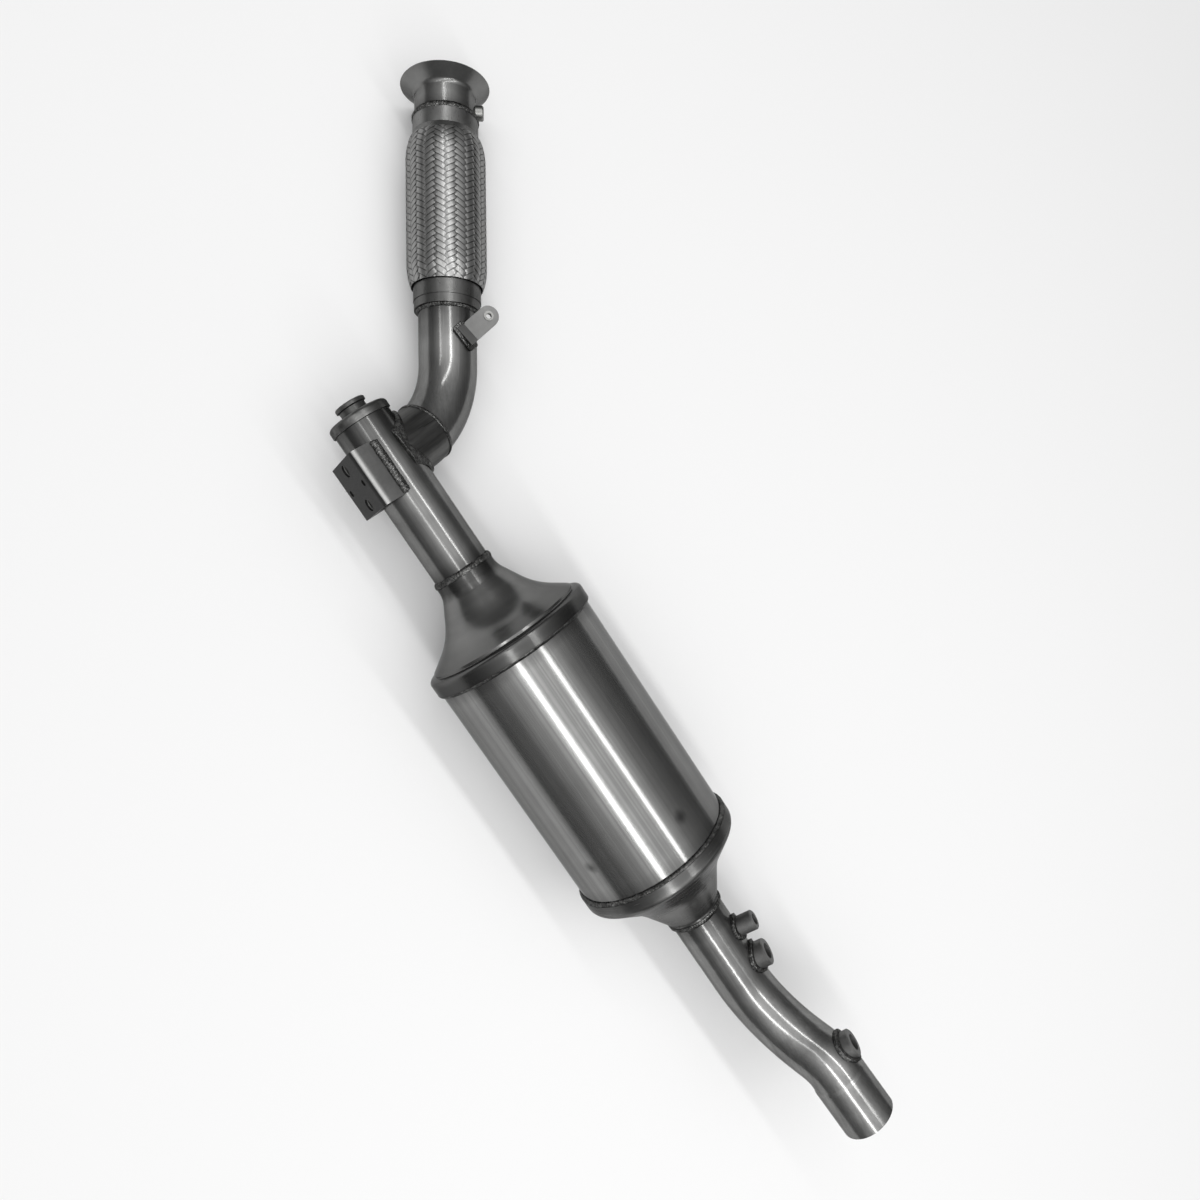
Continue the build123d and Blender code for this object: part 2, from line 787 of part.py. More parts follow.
# Flat floats stand on the barrel: the strands of one hand in every other column, and those
# of the other hand between them
float_places = []
for column in range(strand_columns):
    azimuth = 2 * pi * column / strand_columns
    hand = 1 if column % 2 == 0 else -1
    radial = leg_side * cos(azimuth) + leg_side.cross(leg_direction) * sin(azimuth)
    around = radial.cross(leg_direction)
    stagger = 0.25 + 0.5 * (column % 2)
    for row in range(int((braid_length - 2 * strand_margin) / strand_pitch)):
        station = braid_start + strand_margin + strand_pitch * (row + stagger)
        radius = barrel_radius(station)
        slope = atan(barrel_radius(station + 0.5) - barrel_radius(station - 0.5))
        column_width = 2 * pi * radius / strand_columns
        normal = radial * cos(slope) - leg_direction * sin(slope)
        run = around * column_width + leg_direction * strand_pitch * hand
        float_places.append(
            Plane(
                origin=flange_centre + leg_direction * station + radial * radius,
                x_dir=run - normal * run.dot(normal),
                z_dir=normal,
            )
        )
float_length = 2 * pi * braid_radius / strand_columns * float_share

with BuildPart() as flex_braid:
    with BuildSketch(leg_profile):
        inner_radius = braid_radius - braid_wall
        with BuildLine():
            shoulder_steps = [braid_shoulder * step / 6 for step in range(7)]
            front = Spline(
                *[(braid_start + x, barrel_radius(braid_start + x) - strand_rise) for x in shoulder_steps]
            )
            back_start = braid_end - braid_shoulder
            back = Spline(
                *[(back_start + x, barrel_radius(back_start + x) - strand_rise) for x in shoulder_steps]
            )
            Line(front @ 1, back @ 0)
            Polyline(
                back @ 1,
                (braid_end, cuff_radius),
                (braid_end - braid_grip, cuff_radius),
                (braid_end - braid_shoulder, inner_radius),
                (braid_start + braid_shoulder, inner_radius),
                (braid_start + braid_grip, cuff_radius),
                (braid_start, cuff_radius),
                front @ 0,
            )
        make_face()
    revolve(axis=leg_axis)
    with Locations(*float_places):
        Box(
            float_length,
            strand_width,
            strand_rise * 2,
            align=(Align.CENTER, Align.CENTER, Align.MAX),
        )

with BuildPart() as flex_bellows:
    with BuildSketch(leg_profile):
        crest = braid_radius - braid_wall - 0.2
        root = cuff_radius + bellows_wall
        fold_start = max(upper_cuff_end, braid_start + braid_shoulder)
        fold_end = min(lower_cuff_start, braid_end - braid_shoulder)
        pitch = (fold_end - fold_start) / bellows_count
        folds = [(braid_start + braid_grip + bellows_seat, root)]
        for fold in range(bellows_count):
            folds.append((fold_start + pitch * fold, root))
            folds.append((fold_start + pitch * (fold + 0.5), crest))
        folds.append((fold_end, root))
        folds.append((braid_end - braid_grip - bellows_seat, root))
        lower_skin = [(station, radius - bellows_wall) for station, radius in reversed(folds)]
        Polygon(*folds, *lower_skin, align=None)
    revolve(axis=leg_axis)

with BuildPart() as flex_liner:
    with BuildSketch(leg_profile):
        liner_bore = downpipe_radius - liner_wall
        Polygon(
            (neck_end, liner_bore),
            (neck_end, neck_radius),
            (neck_end + liner_seat, neck_radius),
            (neck_end + liner_seat * 2, downpipe_radius),
            (downpipe_start - 2, downpipe_radius),
            (downpipe_start - 2, liner_bore),
            align=None,
        )
    revolve(axis=leg_axis)

downpipe_weld = lap_bead(
    leg_profile, leg_axis, collar_end, downpipe_radius, collar_radius, 1
)

# Hanger tab: a folded strip whose foot lies on the downpipe
with BuildPart() as leg_core:
    with BuildSketch(Plane(origin=flange_centre, z_dir=leg_direction)):
        Circle(downpipe_radius)
    extrude(amount=(elbow_point - flange_centre).length)

tab_bend = Vector(tab_bend_x, tab_bend_y, -tab_drop)
tab_forward = Vector(cos(radians(tab_heading)), sin(radians(tab_heading)), 0)
tab_profile = Plane(origin=tab_bend, x_dir=tab_forward, z_dir=tab_forward.cross(Vector(0, 0, 1)))
with BuildPart() as hanger_tab:
    with BuildSketch(tab_profile):
        slope = radians(tab_foot_slope)
        foot_x = -tab_foot_length * cos(slope)
        foot_y = tab_foot_length * sin(slope)
        Polygon(
            (foot_x, foot_y),
            (0, 0),
            (tab_hole_reach + tab_width / 2, 0),
            (tab_hole_reach + tab_width / 2, tab_thickness),
            (0, tab_thickness),
            (foot_x, foot_y + tab_thickness),
            align=None,
        )
    extrude(amount=tab_width / 2, both=True)
    end_edges = hanger_tab.edges().filter_by(Axis.Z).sort_by(Axis(tab_bend, tab_forward))[-2:]
    fillet(end_edges, radius=tab_width / 2 - 0.05)
    hole_centre = tab_bend + tab_forward * tab_hole_reach
    with BuildSketch(Plane(origin=hole_centre, z_dir=(0, 0, 1))):
        Circle(tab_hole_radius)
    extrude(amount=tab_thickness, mode=Mode.SUBTRACT)
    add(leg_core.part, mode=Mode.SUBTRACT)

# Pressed bush in the tab's hole
with BuildPart() as hanger_bush:
    with BuildSketch(Plane(origin=hole_centre, z_dir=(0, 0, 1))):
        Circle(tab_hole_radius)
        Circle(bush_bore_radius, mode=Mode.SUBTRACT)
    extrude(amount=tab_thickness)
    with BuildSketch(Plane(origin=hole_centre + Vector(0, 0, tab_thickness), z_dir=(0, 0, 1))):
        Circle(bush_flange_radius)
        Circle(bush_bore_radius, mode=Mode.SUBTRACT)
    extrude(amount=bush_flange_thickness)

# Weld bead round the tab's foot
with BuildPart() as tab_weld:
    foot_middle = tab_bend - tab_forward * (tab_foot_length * 0.62)
    with BuildSketch(Plane(origin=foot_middle, x_dir=tab_forward, z_dir=(0, 0, 1))):
        RectangleRounded(tab_foot_length + 5, tab_width + 7, 3.4)
    extrude(amount=downpipe_radius, both=True)
    with BuildSketch(Plane(origin=flange_centre, z_dir=leg_direction)):
        Circle(downpipe_radius + 3.2)
    extrude(amount=(elbow_point - flange_centre).length, mode=Mode.INTERSECT)
    with BuildSketch(Plane.XY.offset(elbow_point.Z - downpipe_radius * 2)):
        with Locations((tab_bend.X, tab_bend.Y)):
            Rectangle(tab_width * 4, tab_width * 4)
    extrude(amount=downpipe_radius * 2, mode=Mode.SUBTRACT)
    add(leg_core.part, mode=Mode.SUBTRACT)
    add(hanger_tab.part, mode=Mode.SUBTRACT)

pieces = {
    "inlet_flange": inlet_flange,
    "locating_stud": locating_stud,
    "neck_weld": neck_weld,
    "upper_flex_cuff": upper_flex_cuff,
    "flex_braid": flex_braid,
    "flex_bellows": flex_bellows,
    "flex_liner": flex_liner,
    "flex_ferrule": flex_ferrule,
    "lower_flex_cuff": lower_flex_cuff,
    "downpipe_weld": downpipe_weld,
    "downpipe": downpipe,
    "hanger_tab": hanger_tab,
    "hanger_bush": hanger_bush,
    "tab_weld": tab_weld,
    "stub_seam_weld": stub_seam_weld,
    "inlet_stub": inlet_stub,
    "saddle_weld": saddle_weld,
    "injector_port": injector_port,
    "mixer_cap": mixer_cap,
    "mixer_tube": mixer_tube,
    "swirl_mixer": swirl_mixer,
    "mixer_bracket": mixer_bracket,
    "bracket_nuts": bracket_nuts,
    "bracket_welds": bracket_welds,
    "inlet_neck_weld": inlet_neck_weld,
    "inlet_cone": inlet_cone,
    "inlet_rim_weld": inlet_rim_weld,
    "canister_shell": canister_shell,
    "filter_monolith": filter_monolith,
    "support_mat": support_mat,
    "mesh_seal_rings": mesh_seal_rings,
    "outlet_rim_weld": outlet_rim_weld,
    "outlet_cone": outlet_cone,
    "outlet_neck_weld": outlet_neck_weld,
    "outlet_pipe": outlet_pipe,
    "pressure_nipple": pressure_nipple,
    "nipple_weld": nipple_weld,
    "front_sensor_boss": front_sensor_boss,
    "front_boss_weld": front_boss_weld,
    "rear_sensor_boss": rear_sensor_boss,
    "rear_boss_weld": rear_boss_weld,
}
os.makedirs("parts", exist_ok=True)
for name, piece in pieces.items():
    piece.part.label = name
    export_step(piece.part, f"parts/{name}.step")
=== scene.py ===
"""Looks of the diesel particulate filter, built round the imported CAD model.

Metres, in the model's own frame: X runs along the canister with the gas, Z is up, and the
origin is the centre of the injector port's mouth.
"""

import math

import bpy
from mathutils import Matrix, Vector, noise


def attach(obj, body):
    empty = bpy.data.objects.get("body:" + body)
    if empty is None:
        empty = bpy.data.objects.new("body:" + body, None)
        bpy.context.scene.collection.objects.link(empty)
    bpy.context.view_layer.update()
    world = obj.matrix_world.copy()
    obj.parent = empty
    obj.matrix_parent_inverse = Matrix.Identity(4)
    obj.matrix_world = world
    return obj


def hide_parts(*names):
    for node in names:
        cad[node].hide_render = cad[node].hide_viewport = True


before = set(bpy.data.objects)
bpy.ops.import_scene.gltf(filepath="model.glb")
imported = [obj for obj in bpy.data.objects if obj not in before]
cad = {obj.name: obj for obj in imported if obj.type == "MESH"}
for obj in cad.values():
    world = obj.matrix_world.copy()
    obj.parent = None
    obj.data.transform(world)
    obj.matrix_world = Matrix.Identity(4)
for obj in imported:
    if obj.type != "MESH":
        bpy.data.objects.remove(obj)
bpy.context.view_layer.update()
scene = bpy.context.scene
MM = 0.001

# Stations and lengths along the X axis, on which the mixer tube, the canister and the
# start of the outlet pipe lie
mixer_length = 205 * MM
inlet_cone_x = 190 * MM
outlet_cone_x = 545 * MM
cone_length = 95 * MM
shell_x = 273 * MM
shell_length = 284 * MM
outlet_x = 630 * MM
outlet_length = 300 * MM
rim_radius = 90.5 * MM
shell_burns = [(0.5053, 0.025, 0.0833), (0.5007, -0.0704, 0.0511)]

# The inlet leg runs straight from the flange to the elbow's corner, and on to the branch
flange_centre = Vector((-231.0, 280.8, -44.3)) * MM
elbow_corner = Vector((55.6, 85.1, -35.2)) * MM
branch_centre = Vector((64.3, 0, 0)) * MM
leg_direction = (elbow_corner - flange_centre).normalized()
stub_direction = (elbow_corner - branch_centre).normalized()
neck_length = 48 * MM
leg_length = 330 * MM
stub_length = 55 * MM

# The bracket's plate stands off the mixer tube, square to this direction
bracket_out = (0, -0.974, 0.225)
bracket_reach = 42 * MM

# Feet and directions of what is welded on the pipes
tab_foot = Vector((0.5, 139.7, -10.5)) * MM
boss_direction = (0, 0.848, 0.530)
nipple_foot = Vector((675.4, 0, 0)) * MM
front_boss_foot = Vector((716.5, 0, 0)) * MM
rear_boss_direction = (-0.0846, 0.8512, 0.5181)
rear_boss_foot = Vector((838.8, 18.8, 48.2)) * MM


def srgb(code):
    """Linear RGBA of an sRGB hex colour."""
    parts = [int(code[i : i + 2], 16) / 255 for i in (1, 3, 5)]
    return [c / 12.92 if c <= 0.04045 else ((c + 0.055) / 1.055) ** 2.4 for c in parts] + [1]


def deselect_all():
    """Leaves edit mode and selects nothing."""
    if bpy.context.object and bpy.context.object.mode != "OBJECT":
        bpy.ops.object.mode_set(mode="OBJECT")
    bpy.ops.object.select_all(action="DESELECT")


def frame_along(origin, direction):
    """Matrix that carries X onto a direction, at an origin."""
    turn = Vector(direction).to_track_quat("X", "Z").to_matrix().to_4x4()
    return Matrix.Translation(origin) @ turn


def add_node(tree, kind, inputs, output=0, **settings):
    """Adds a shader node with its settings and links, and gives one of its outputs."""
    node = tree.nodes.new(kind)
    for key, value in settings.items():
        setattr(node, key, value)
    for key, value in inputs.items():
        if isinstance(value, bpy.types.NodeSocket):
            tree.links.new(value, node.inputs[key])
        else:
            node.inputs[key].default_value = value
    return node.outputs[output] if node.outputs else None


def new_tree(name):
    """A new material and its empty node tree."""
    material = bpy.data.materials.new(name)
    material.use_nodes = True
    material.node_tree.nodes.clear()
    return material, material.node_tree


def local_frame(tree, origin, axis):
    """Object coordinates turned so that X runs along an axis from an origin."""
    place = add_node(tree, "ShaderNodeTexCoord", {}, "Object")
    turn = Vector(axis).to_track_quat("X", "Z").to_euler()
    inputs = {"Vector": place, "Location": Vector(origin), "Rotation": turn}
    return add_node(tree, "ShaderNodeMapping", inputs, vector_type="TEXTURE")


def stretched_noise(tree, place, along, across, detail=3.0):
    """Noise whose grains have one length along X and one across it, in metres."""
    scale = (1 / along, 1 / across, 1 / across)
    vector = add_node(tree, "ShaderNodeMapping", {"Vector": place, "Scale": scale})
    inputs = {"Vector": vector, "Scale": 1.0, "Detail": detail, "Roughness": 0.6}
    return add_node(tree, "ShaderNodeTexNoise", inputs)


# Nearly all of a noise lies between these values, which a Map Range node takes as its
# inputs 1 and 2
noise_span = {1: 0.3, 2: 0.7}


def shade(tree, colour, value, first, last, span=noise_span):
    """A colour multiplied by a value, whose span is carried onto two greys."""
    grey = add_node(tree, "ShaderNodeMapRange", {0: value, 3: first, 4: last, **span})
    inputs = {0: 1.0, 6: colour, 7: grey}
    return add_node(tree, "ShaderNodeMix", inputs, 2, data_type="RGBA", blend_type="MULTIPLY")


# A thin oxide skin keeps the metals from turning bright at grazing angles, and fine
# scratches lay a wide haze round their highlights
oxide_edge = srgb("#b8b8b8")
haze_roughness = 0.5


def finish_metal(tree, colour, roughness, normal, metallic=1.0, haze=0.0):
    """The shader and output of a metal, with a share of wide haze round its highlights."""
    inputs = {"Base Color": colour, "Metallic": metallic, "Roughness": roughness}
    inputs |= {"Specular Tint": oxide_edge, "Normal": normal}
    surface = add_node(tree, "ShaderNodeBsdfPrincipled", inputs)
    if haze:
        wide = add_node(tree, "ShaderNodeBsdfPrincipled", {**inputs, "Roughness": haze_roughness})
        surface = add_node(tree, "ShaderNodeMixShader", {0: haze, 1: surface, 2: wide})
    add_node(tree, "ShaderNodeOutputMaterial", {0: surface})


# Worked steel: its bands are so many times as long and wide as its lines, its mottling has
# clouds of this length and width, and its burns fade out between a core and an edge
band_stretch = (4, 7)
cloud_size = (34 * MM, 26 * MM)
cloud_span = {1: 0.32, 2: 0.68}
cloud_lift = 0.4
line_roughness = 0.15
line_strength = 0.5
burn_grey = 0.4
burn_span = {1: 2 * MM, 2: 9 * MM}
burn_ragged = 2 * MM


def steel(
    name, colour, roughness, origin=(0, 0, 0), axis=(1, 0, 0), length=1.0, stain=(), wander=2.5,
    grain=(60, 0.8), streak=0.12, mottle=0.2, depth=0.0015, metallic=1.0, haze=0.32, burns=(),
):
    """Worked steel: drawn grain along an axis, soft mottling and bands of heat stain.

    grain is the length and width of its marks, depth their depth, and wander how far the
    stain's bands stray, all in mm. stain is a list of (share of the length, grey) stops
    that are multiplied into the colour. burns is a list of places with a small round burn.
    """
    material, tree = new_tree(name)
    place = local_frame(tree, origin, axis)
    line_length, line_width = grain[0] * MM, grain[1] * MM
    band_length, band_width = line_length * band_stretch[0], line_width * band_stretch[1]
    lines = stretched_noise(tree, place, line_length, line_width)
    bands = stretched_noise(tree, place, band_length, band_width, detail=2.0)
    cloud = stretched_noise(tree, place, *cloud_size, detail=4.0)
    base = srgb(colour)
    base = shade(tree, base, cloud, 1 - mottle, 1 + mottle * cloud_lift, cloud_span)
    base = shade(tree, base, lines, 1 - streak, 1 + streak)
    base = shade(tree, base, bands, 1 - streak, 1 + streak)
    if stain:
        along = add_node(tree, "ShaderNodeSeparateXYZ", {0: place})
        inputs = {0: cloud, 3: -wander * MM, 4: wander * MM, **noise_span}
        drift = add_node(tree, "ShaderNodeMapRange", inputs)
        moved = add_node(tree, "ShaderNodeMath", {0: along, 1: drift}, operation="ADD")
        share_along = add_node(tree, "ShaderNodeMapRange", {0: moved, 2: length})
        ramp = add_node(tree, "ShaderNodeValToRGB", {0: share_along})
        stops = ramp.node.color_ramp.elements
        stops.remove(stops[1])
        for index, (share, grey) in enumerate(stain):
            stop = stops[0] if index == 0 else stops.new(share)
            stop.position = share
            stop.color = (grey, grey, grey, 1)
        inputs = {0: 1.0, 6: base, 7: ramp}
        base = add_node(tree, "ShaderNodeMix", inputs, 2, data_type="RGBA", blend_type="MULTIPLY")
    for centre in burns:
        here = add_node(tree, "ShaderNodeTexCoord", {}, "Object")
        inputs = {0: here, 1: centre}
        away = add_node(tree, "ShaderNodeVectorMath", inputs, "Value", operation="DISTANCE")
        inputs = {0: cloud, 3: -burn_ragged, 4: burn_ragged, **noise_span}
        spread = add_node(tree, "ShaderNodeMapRange", inputs)
        ragged = add_node(tree, "ShaderNodeMath", {0: away, 1: spread}, operation="ADD")
        base = shade(tree, base, ragged, burn_grey, 1.0, burn_span)
    smoother, rougher = roughness * (1 - line_roughness), roughness * (1 + line_roughness)
    inputs = {0: lines, 3: smoother, 4: rougher, **noise_span}
    rough = add_node(tree, "ShaderNodeMapRange", inputs)
    inputs = {"Strength": line_strength, "Distance": depth * MM, "Height": lines}
    normal = add_node(tree, "ShaderNodeBump", inputs)
    finish_metal(tree, base, rough, normal, metallic, haze if metallic else 0)
    return material


# Weld metal as laid: sizes of its lumps, grit and patches of scale, and the spans of the
# noise that are carried onto greys, or onto shares of the roughness
lump_size = 2.4 * MM
lump_span = {1: 0.4, 2: 0.66}
# The lumps' greys darken their lows, as dark scale, and brighten their crests: painted glints
lump_glint_greys = (0.5, 1.6)
patch_size = 9 * MM
patch_span = {1: 0.35, 2: 0.65}
patch_greys = (0.7, 1.3)
grit_size = 0.9 * MM
grit_shares = (0.7, 1.4)
grit_height = 0.5 * MM
grit_strength = 0.8


def weld_steel(name, colour, roughness):
    """Weld metal as laid, with lumps, grit and patches of scale."""
    material, tree = new_tree(name)
    place = add_node(tree, "ShaderNodeTexCoord", {}, "Object")
    lumps = stretched_noise(tree, place, lump_size, lump_size, detail=4.0)
    grit = stretched_noise(tree, place, grit_size, grit_size, detail=2.0)
    patch = stretched_noise(tree, place, patch_size, patch_size, detail=2.0)
    base = shade(tree, srgb(colour), lumps, *lump_glint_greys, lump_span)
    base = shade(tree, base, patch, *patch_greys, patch_span)
    smoother, rougher = roughness * grit_shares[0], roughness * grit_shares[1]
    inputs = {0: grit, 3: smoother, 4: rougher, **noise_span}
    rough = add_node(tree, "ShaderNodeMapRange", inputs)
    height = add_node(tree, "ShaderNodeMath", {0: lumps, 1: grit}, operation="ADD")
    inputs = {"Strength": grit_strength, "Distance": grit_height, "Height": height}
    normal = add_node(tree, "ShaderNodeBump", inputs)
    finish_metal(tree, base, rough, normal)
    return material


# Strands of the braid: the spans of the wires' grooves, of the dives under other strands and
# of the way out to the strand's edges, the greys of painted shade they are carried onto, and a soft
# mottling
groove_span = {1: -1, 2: 1}
groove_shade_greys = (1.0, 0.75)
groove_depth = 0.05 * MM
groove_strength = 0.2
dive_span = {1: -0.9, 2: 0.5}
dive_shade_greys = (0.2, 1.0)
edge_span = {1: 0.36, 2: 0.5}
edge_shade_greys = (1.0, 0.25)
mottle_size = (14 * MM, 9 * MM)
mottle_greys = (0.85, 1.1)


def braid_steel(name, colour, roughness, wires):
    """Flat strands of parallel wires, read from the strand's own UV map and its rise.

    The wires' grooves, the strand's edges and the stretches that dive under are darker: painted shade.
    """
    material, tree = new_tree(name)
    uv = add_node(tree, "ShaderNodeUVMap", {}, uv_map="UVMap")
    across = add_node(tree, "ShaderNodeSeparateXYZ", {0: uv}, 1)
    inputs = {0: across, 1: wires * math.tau}
    turns = add_node(tree, "ShaderNodeMath", inputs, operation="MULTIPLY")
    ridge = add_node(tree, "ShaderNodeMath", {0: turns}, operation="COSINE")
    place = add_node(tree, "ShaderNodeTexCoord", {}, "Object")
    cloud = stretched_noise(tree, place, *mottle_size, detail=2.0)
    rise = add_node(tree, "ShaderNodeAttribute", {}, "Fac", attribute_name="rise")
    side = add_node(tree, "ShaderNodeMath", {0: across, 1: 0.5}, operation="SUBTRACT")
    off_middle = add_node(tree, "ShaderNodeMath", {0: side}, operation="ABSOLUTE")
    base = shade(tree, srgb(colour), cloud, *mottle_greys)
    base = shade(tree, base, ridge, *groove_shade_greys, groove_span)
    base = shade(tree, base, rise, *dive_shade_greys, dive_span)
    base = shade(tree, base, off_middle, *edge_shade_greys, edge_span)
    inputs = {"Strength": groove_strength, "Distance": -groove_depth, "Height": ridge}
    normal = add_node(tree, "ShaderNodeBump", inputs)
    finish_metal(tree, base, roughness, normal)
    return material


# Bright drawn tube, with fine lengthwise lines that stretch a lamp into a narrow band
mixer_steel = steel(
    "drawn_mixer_tube", "#7e7e7d", 0.15, length=mixer_length,
    stain=[(0.0, 0.35), (0.14, 0.5), (0.3, 0.8), (0.5, 1.0), (0.85, 0.95), (0.92, 0.5), (1.0, 0.3)],
)
outlet_steel = steel(
    "drawn_outlet_tube", "#868685", 0.16, origin=(outlet_x, 0, 0), length=outlet_length,
    stain=[(0.0, 0.3), (0.04, 0.6), (0.1, 1.0), (1.0, 1.1)],
)
leg_steel = steel(
    "drawn_downpipe", "#838382", 0.16, flange_centre, leg_direction, leg_length,
    stain=[(0.0, 0.9), (0.73, 0.45), (0.77, 0.8), (0.85, 1.1), (1.0, 0.9)],
)
inner_tube = steel("drawn_inner_tube", "#7a7a79", 0.25)
# Cold-rolled sheet wrapped into the shell: nearly a mirror, streaked by the rolls
shell_steel = steel(
    "rolled_stainless_sheet", "#868685", 0.15, origin=(shell_x, 0, 0), length=shell_length,
    grain=(500, 1.6), streak=0.13, mottle=0.08, depth=0.002, haze=0.2, burns=shell_burns,
    stain=[(0.0, 0.5), (0.04, 0.6), (0.09, 1.0), (0.9, 1.0), (0.95, 0.75), (1.0, 0.6)],
)
# Pressings browned by the welding and the gas, satin where the tool rubbed them
front_pressing = steel(
    "heat_tinted_front_pressing", "#7c7c7b", 0.21, origin=(inlet_cone_x, 0, 0),
    length=cone_length, grain=(4, 70), streak=0.05, mottle=0.12, haze=0.22,
    stain=[(0.0, 0.3), (0.15, 0.35), (0.24, 0.95), (0.6, 1.0), (0.8, 0.75), (0.87, 0.45), (1.0, 0.35)],
)
rear_pressing = steel(
    "heat_tinted_rear_pressing", "#7c7c7b", 0.25, origin=(outlet_cone_x, 0, 0),
    length=cone_length, grain=(4, 70), streak=0.05, mottle=0.12,
    stain=[(0.0, 0.5), (0.1, 0.6), (0.2, 1.0), (0.6, 1.15), (0.85, 0.8), (1.0, 0.35)],
)
# Thick dark sleeves, dulled by weld heat
sleeve_steel = steel(
    "dull_sleeve_steel", "#5d5d5c", 0.32, branch_centre, stub_direction, grain=(60, 5), streak=0.3
)
cuff_steel = steel(
    "dull_cuff_steel", "#848483", 0.3, flange_centre, leg_direction,
    grain=(12, 4), streak=0.06, mottle=0.3,
)
# The lower cuff and the ferrule take a darker copy of the cuff steel
lower_cuff = steel(
    "scorched_cuff_steel", "#696968", 0.3, flange_centre, leg_direction,
    grain=(12, 4), streak=0.06, mottle=0.3,
)
# Spun steel, satin on the flare and darkened towards the weld
flange_steel = steel(
    "spun_flange_steel", "#7c7c7b", 0.22, flange_centre, leg_direction, neck_length,
    grain=(6, 12), streak=0.04, mottle=0.16,
    stain=[(0.0, 0.9), (0.5, 1.1), (0.65, 0.8), (0.8, 0.3), (1.0, 0.3)],
)
# Turned steel, darkened by heat and soot: the cutter's fine marks spread the highlights
turned_steel = steel(
    "turned_boss_steel", "#767675", 0.36, grain=(1.2, 1.2), streak=0.1, metallic=0.8
)
port_steel = steel("sooted_port_steel", "#585857", 0.34, grain=(1.2, 1.2), streak=0.1, metallic=0.8)
# Zinc plate: pale and matt on the folded parts, brighter on the small turned ones
zinc_plate = steel("matt_zinc_plate", "#787877", 0.45, grain=(2, 2), streak=0.05, mottle=0.16)
bright_zinc = steel("bright_zinc_plate", "#8c8c8a", 0.3, grain=(2, 2), streak=0.05)
# Hot-rolled sheet under a dull scale. Its stain is painted light: lighter up the leg, a
# painted highlight along the fold, and painted shade that is darkest on the outer face
bracket_steel = steel(
    "folded_bracket_sheet", "#8a8a89", 0.42, axis=bracket_out, length=bracket_reach,
    grain=(3, 2), streak=0.05, mottle=0.1, metallic=0.65, haze=0, wander=0.3,
    # Stops 0.89 to 0.935 paint a highlight along the fold, and the last stop paints shade on the outer
    # face
    stain=[(0.0, 0.65), (0.4, 0.75), (0.86, 0.95), (0.89, 1.6), (0.935, 1.7), (0.96, 0.14)],
)
# Weld metal under dark scale, with painted glints: its lumps are drawn brighter on their crests
weld_metal = weld_steel("weld_metal_with_scale", "#5e5e5d", 0.28)
# Bright stainless wire. The lining's wires are drawn nearly black: painted shade of the braid over
# them
braid_wire = braid_steel("bright_braid_wire", "#a4a4a3", 0.32, wires=7)
inner_wire = steel(
    "shaded_inner_wire", "#161616", 0.6, grain=(1.5, 1.5), streak=0.3, depth=0.4
)
# Knitted wire: each loop glints by itself, so the seals look grainy
seal_wire = steel("knitted_seal_wire", "#747473", 0.35, grain=(1.5, 1.5), streak=0.4, depth=0.5)
# The brick's pores and the mat's fibres scatter the light: both are dull to the eye
ceramic = steel("porous_ceramic", "#4b4a48", 0.9, grain=(0.8, 0.8), metallic=0.0)
fibre = steel("ceramic_fibre_mat", "#cfccc2", 0.95, grain=(4, 0.8), metallic=0.0)

finish = {
    "inlet_flange": flange_steel, "locating_stud": bright_zinc, "neck_weld": weld_metal,
    "upper_flex_cuff": cuff_steel, "flex_braid": seal_wire, "flex_bellows": inner_tube,
    "flex_liner": inner_tube, "flex_ferrule": lower_cuff, "lower_flex_cuff": lower_cuff,
    "downpipe_weld": weld_metal, "downpipe": leg_steel, "hanger_tab": zinc_plate,
    "hanger_bush": bright_zinc, "tab_weld": weld_metal, "stub_seam_weld": weld_metal,
    "inlet_stub": sleeve_steel, "saddle_weld": weld_metal, "injector_port": port_steel,
    "mixer_cap": sleeve_steel, "mixer_tube": mixer_steel, "swirl_mixer": inner_tube,
    "mixer_bracket": bracket_steel, "bracket_nuts": zinc_plate, "bracket_welds": weld_metal,
    "inlet_neck_weld": weld_metal, "inlet_cone": front_pressing, "inlet_rim_weld": weld_metal,
    "canister_shell": shell_steel, "filter_monolith": ceramic, "support_mat": fibre,
    "mesh_seal_rings": seal_wire, "outlet_rim_weld": weld_metal, "outlet_cone": rear_pressing,
    "outlet_neck_weld": weld_metal, "outlet_pipe": outlet_steel, "pressure_nipple": turned_steel,
    "nipple_weld": weld_metal, "front_sensor_boss": turned_steel, "front_boss_weld": weld_metal,
    "rear_sensor_boss": turned_steel, "rear_boss_weld": weld_metal,
}
for node_name, material in finish.items():
    mesh = cad[node_name].data
    mesh.materials.clear()
    mesh.materials.append(material)


# Braid of the coupler: flat strands of two hands, each over two and under two, on a nearly
# black lining of painted shade that closes the view to the bellows. Its stations run along the leg
# from the flange
strand_count = 24
strand_pitch = 6.25 * MM
strand_width = 5.2 * MM
strand_thickness = 0.35 * MM
strand_crown = 0.08 * MM
strand_tail = 3 * MM
strand_trim = 0.3 * MM
strand_cells = (176, 3)
weave_height = 0.5 * MM
weave_depth = 0.6 * MM
float_steepness = 1.8
braid_start = 61.0 * MM
braid_end = 215.6 * MM
braid_shoulder = 22.0 * MM
barrel = 41.3 * MM
barrel_start = 37.5 * MM
barrel_end = 37.0 * MM
lining_depth = 1.3 * MM
lining_bore = 34.2 * MM
lining_steps = 40
lining_turn_steps = 120


def barrel_radius(station):
    """Outer radius of the braid, which draws in towards both ends."""
    front = max(0, 1 - (station - braid_start) / braid_shoulder)
    back = max(0, 1 - (braid_end - station) / braid_shoulder)
    return barrel - (barrel - barrel_start) * front**2 - (barrel - barrel_end) * back**2


